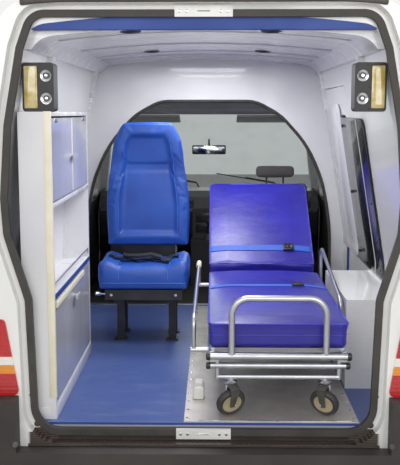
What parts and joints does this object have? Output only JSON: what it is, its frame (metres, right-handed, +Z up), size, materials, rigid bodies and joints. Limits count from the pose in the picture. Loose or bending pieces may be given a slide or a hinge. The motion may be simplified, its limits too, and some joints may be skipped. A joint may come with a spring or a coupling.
{
  "type": "ambulance",
  "caption": "Raised-roof panel-van ambulance with its rear doors open on a load space with a stretcher, attendant's seat and cabinets.",
  "frame": {"origin": "on the ground under the centre of the overall box, rear doors open", "axes": "+X to the vehicle's right, +Y forward, +Z up"},
  "size_m": [3.37, 4.856, 2.3689],
  "materials": {
    "body_white": "gloss",
    "dark_plastic": "satin",
    "seal_rubber": "matte",
    "clear_glass": "clear",
    "tail_lens": "gloss",
    "clear_lens": "gloss",
    "liner_grey": "gloss",
    "trim_blue": "gloss",
    "liner_white": "satin",
    "seat_blue": "satin",
    "mattress_vinyl": "gloss",
    "cab_cloth": "matte",
    "aluminium": "satin",
    "plate_steel": "satin",
    "dark_steel": "matte",
    "cast_metal": "rough",
    "pipe_steel": "dull",
    "caster_black": "matte",
    "tyre_rubber": "matte",
    "rim_silver": "satin",
    "beacon_blue": "gloss",
    "cabinet_grey": "gloss"
  },
  "bodies": {
    "body": {"floor_pan": "body_white", "body_side_right": "body_white", "body_side_left": "body_white", "roof": "body_white", "aperture_seal": "seal_rubber", "tail_lamps": "tail_lens", "body_glass": "clear_glass", "sliding_door": "body_white", "front_wings": "body_white", "headlamps": "clear_lens", "grille": "dark_plastic", "front_bumper": "dark_plastic", "rear_bumper": "dark_plastic", "front_suspension": "dark_steel", "engine_block": "cast_metal", "rear_axle": "dark_steel", "exhaust": "pipe_steel", "roof_liner": "liner_grey", "header_trim": "trim_blue", "bulkhead": "liner_white", "dashboard": "dark_plastic", "cab_seats": "cab_cloth", "loading_plate": "plate_steel", "stretcher_frame": "aluminium", "stretcher_legs": "aluminium", "stretcher_casters": "caster_black", "stretcher_mattress": "mattress_vinyl", "seat_frame": "dark_steel", "seat_pads": "seat_blue", "cabinet": "liner_white", "corner_lamps": "dark_plastic", "door_strikers": "dark_plastic", "beacons": "beacon_blue"},
    "door_front_right": {"front_door_right": "body_white", "front_glass_right": "clear_glass"},
    "door_front_left": {"front_door_left": "body_white", "front_glass_left": "clear_glass"},
    "door_rear_right": {"rear_door_right": "body_white", "rear_glass_right": "clear_glass"},
    "door_rear_left": {"rear_door_left": "body_white", "rear_glass_left": "clear_glass"},
    "bonnet_lid": {"bonnet": "body_white"},
    "hub_right": {"knuckle_right": "cast_metal"},
    "hub_left": {"knuckle_left": "cast_metal"},
    "steering": {"steering_wheel": "dark_plastic"},
    "backrest": {"stretcher_backrest": "aluminium", "stretcher_back_pad": "mattress_vinyl"},
    "cabinet_flap_upper": {"upper_cabinet_door": "cabinet_grey"},
    "cabinet_flap_lower": {"lower_cabinet_door": "cabinet_grey"},
    "wheel_front_right": {"tyre_front_right": "tyre_rubber", "rim_front_right": "rim_silver"},
    "wheel_front_left": {"tyre_front_left": "tyre_rubber", "rim_front_left": "rim_silver"},
    "wheel_rear_right": {"tyre_rear_right": "tyre_rubber", "rim_rear_right": "rim_silver"},
    "wheel_rear_left": {"tyre_rear_left": "tyre_rubber", "rim_rear_left": "rim_silver"}
  },
  "joints": [
    {"name": "steer_left", "type": "hinge", "parent": "body", "child": "hub_left", "pos_m": [-0.79, 1.545, 0.336], "axis": [0, 0, 1], "range_deg": [-35, 35]},
    {"name": "steer_right", "type": "hinge", "parent": "body", "child": "hub_right", "pos_m": [0.79, 1.545, 0.336], "axis": [0, 0, 1], "range_deg": [-35, 35]},
    {"name": "steering_wheel_turn", "type": "hinge", "parent": "body", "child": "steering", "pos_m": [-0.44, 0.64, 1.15], "axis": [0, 0.8829, -0.4695], "range_deg": [-525, 525]},
    {"name": "roll_front_right", "type": "hinge", "parent": "hub_right", "child": "wheel_front_right", "pos_m": [0.828, 1.545, 0.336], "axis": [1, 0, 0], "continuous": true},
    {"name": "roll_front_left", "type": "hinge", "parent": "hub_left", "child": "wheel_front_left", "pos_m": [-0.828, 1.545, 0.336], "axis": [1, 0, 0], "continuous": true},
    {"name": "roll_rear_right", "type": "hinge", "parent": "body", "child": "wheel_rear_right", "pos_m": [0.828, -1.44, 0.336], "axis": [1, 0, 0], "continuous": true},
    {"name": "roll_rear_left", "type": "hinge", "parent": "body", "child": "wheel_rear_left", "pos_m": [-0.828, -1.44, 0.336], "axis": [1, 0, 0], "continuous": true},
    {"name": "open_front_right", "type": "hinge", "parent": "body", "child": "door_front_right", "pos_m": [0.953, 1.121, 1], "axis": [0, 0, 1], "range_deg": [0, 68]},
    {"name": "open_front_left", "type": "hinge", "parent": "body", "child": "door_front_left", "pos_m": [-0.953, 1.121, 1], "axis": [0, 0, -1], "range_deg": [0, 68]},
    {"name": "close_rear_right", "type": "hinge", "parent": "body", "child": "door_rear_right", "pos_m": [0.845, -2.345, 1.3], "axis": [0, 0, 1], "range_deg": [-180, 0]},
    {"name": "close_rear_left", "type": "hinge", "parent": "body", "child": "door_rear_left", "pos_m": [-0.845, -2.345, 1.3], "axis": [0, 0, -1], "range_deg": [-180, 0]},
    {"name": "open_bonnet", "type": "hinge", "parent": "body", "child": "bonnet_lid", "pos_m": [0, 1.358, 1.154], "axis": [1, 0, 0], "range_deg": [0, 60]},
    {"name": "raise_backrest", "type": "hinge", "parent": "body", "child": "backrest", "pos_m": [0.303, -0.94, 0.817], "axis": [1, 0, 0], "range_deg": [-35, 35]},
    {"name": "open_upper_flap", "type": "hinge", "parent": "body", "child": "cabinet_flap_upper", "pos_m": [-0.61, -1.73, 1.765], "axis": [0, -1, 0], "range_deg": [0, 90]},
    {"name": "open_lower_flap", "type": "hinge", "parent": "body", "child": "cabinet_flap_lower", "pos_m": [-0.61, -1.73, 0.622], "axis": [0, 1, 0], "range_deg": [0, 90]}
  ],
  "couplings": [
    {"joint": "steer_right", "follows": "steer_left", "ratio": 1},
    {"joint": "steering_wheel_turn", "follows": "steer_left", "ratio": -15}
  ]
}
